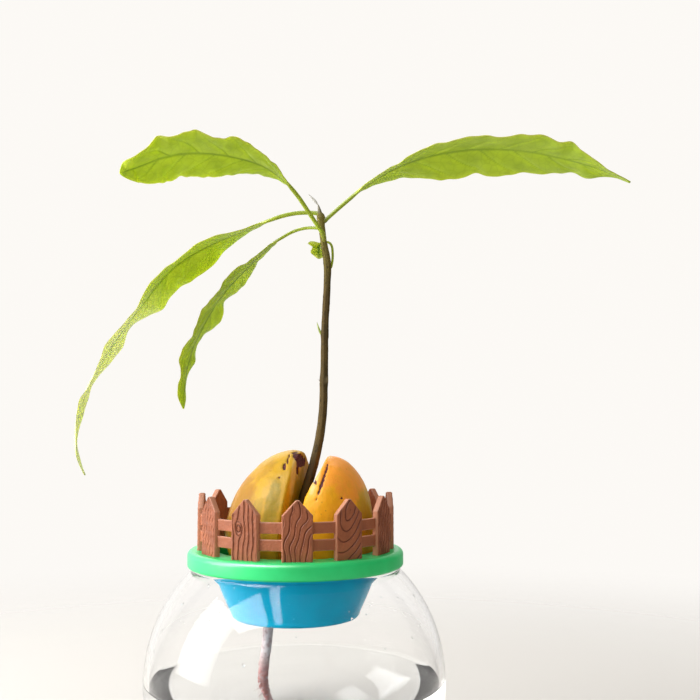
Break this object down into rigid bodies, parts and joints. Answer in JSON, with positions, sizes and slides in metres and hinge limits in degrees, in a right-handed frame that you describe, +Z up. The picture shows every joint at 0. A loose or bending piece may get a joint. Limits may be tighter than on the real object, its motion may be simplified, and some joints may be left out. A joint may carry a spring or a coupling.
{
  "type": "avocado seedling in a picket fence holder over a round glass bowl of water",
  "caption": "Young avocado plant growing from its split seed, held in a round holder with a small picket fence over a glass bowl of water.",
  "frame": {"origin": "centre of the bowl's flat underside", "axes": "+Z up, along the bowl's axis; +X to the right and -Y to the viewer in the picture's view"},
  "size_m": [0.2257, 0.1176, 0.2608],
  "materials": {
    "bowl_glass": "clear blown glass with a few water drops",
    "water": "clear still water",
    "disc_green": "satin moulded plastic",
    "cup_blue": "glossy moulded plastic, wet",
    "fence_brown": "moulded plastic with a raised wood grain",
    "seed_skin_left": "smooth waxy seed flesh with brown spots",
    "seed_skin_right": "smooth waxy seed flesh with a dark slit",
    "stem_bark": "thin brown bark with pale pores",
    "root_skin": "rough root skin",
    "bud_green": "olive green bud scales",
    "dry_tip": "dry pale leaf tissue",
    "leaf_green": "thin fresh leaf with darker veins"
  },
  "bodies": {
    "root": {"bowl": "bowl_glass", "water": "water", "holder_disc": "disc_green", "holder_cup": "cup_blue", "seed_half_left": "seed_skin_left", "seed_half_right": "seed_skin_right", "stem": "stem_bark", "root": "root_skin", "terminal_bud": "bud_green", "bract": "bud_green", "withered_tip": "dry_tip", "young_leaf": "leaf_green", "leaf_front_left": "leaf_green", "leaf_long_left": "leaf_green", "leaf_inner_left": "leaf_green", "leaf_right": "leaf_green", "picket_01": "fence_brown", "picket_02": "fence_brown", "picket_03": "fence_brown", "picket_04": "fence_brown", "picket_05": "fence_brown", "picket_06": "fence_brown", "picket_07": "fence_brown", "picket_08": "fence_brown", "picket_09": "fence_brown", "picket_10": "fence_brown", "picket_11": "fence_brown", "picket_12": "fence_brown", "rail_lower_01": "fence_brown", "rail_lower_02": "fence_brown", "rail_lower_03": "fence_brown", "rail_lower_04": "fence_brown", "rail_lower_05": "fence_brown", "rail_lower_06": "fence_brown", "rail_lower_07": "fence_brown", "rail_lower_08": "fence_brown", "rail_lower_09": "fence_brown", "rail_lower_10": "fence_brown", "rail_lower_11": "fence_brown", "rail_lower_12": "fence_brown", "rail_upper_01": "fence_brown", "rail_upper_02": "fence_brown", "rail_upper_03": "fence_brown", "rail_upper_04": "fence_brown", "rail_upper_05": "fence_brown", "rail_upper_06": "fence_brown", "rail_upper_07": "fence_brown", "rail_upper_08": "fence_brown", "rail_upper_09": "fence_brown", "rail_upper_10": "fence_brown", "rail_upper_11": "fence_brown", "rail_upper_12": "fence_brown"}
  },
  "joints": []
}
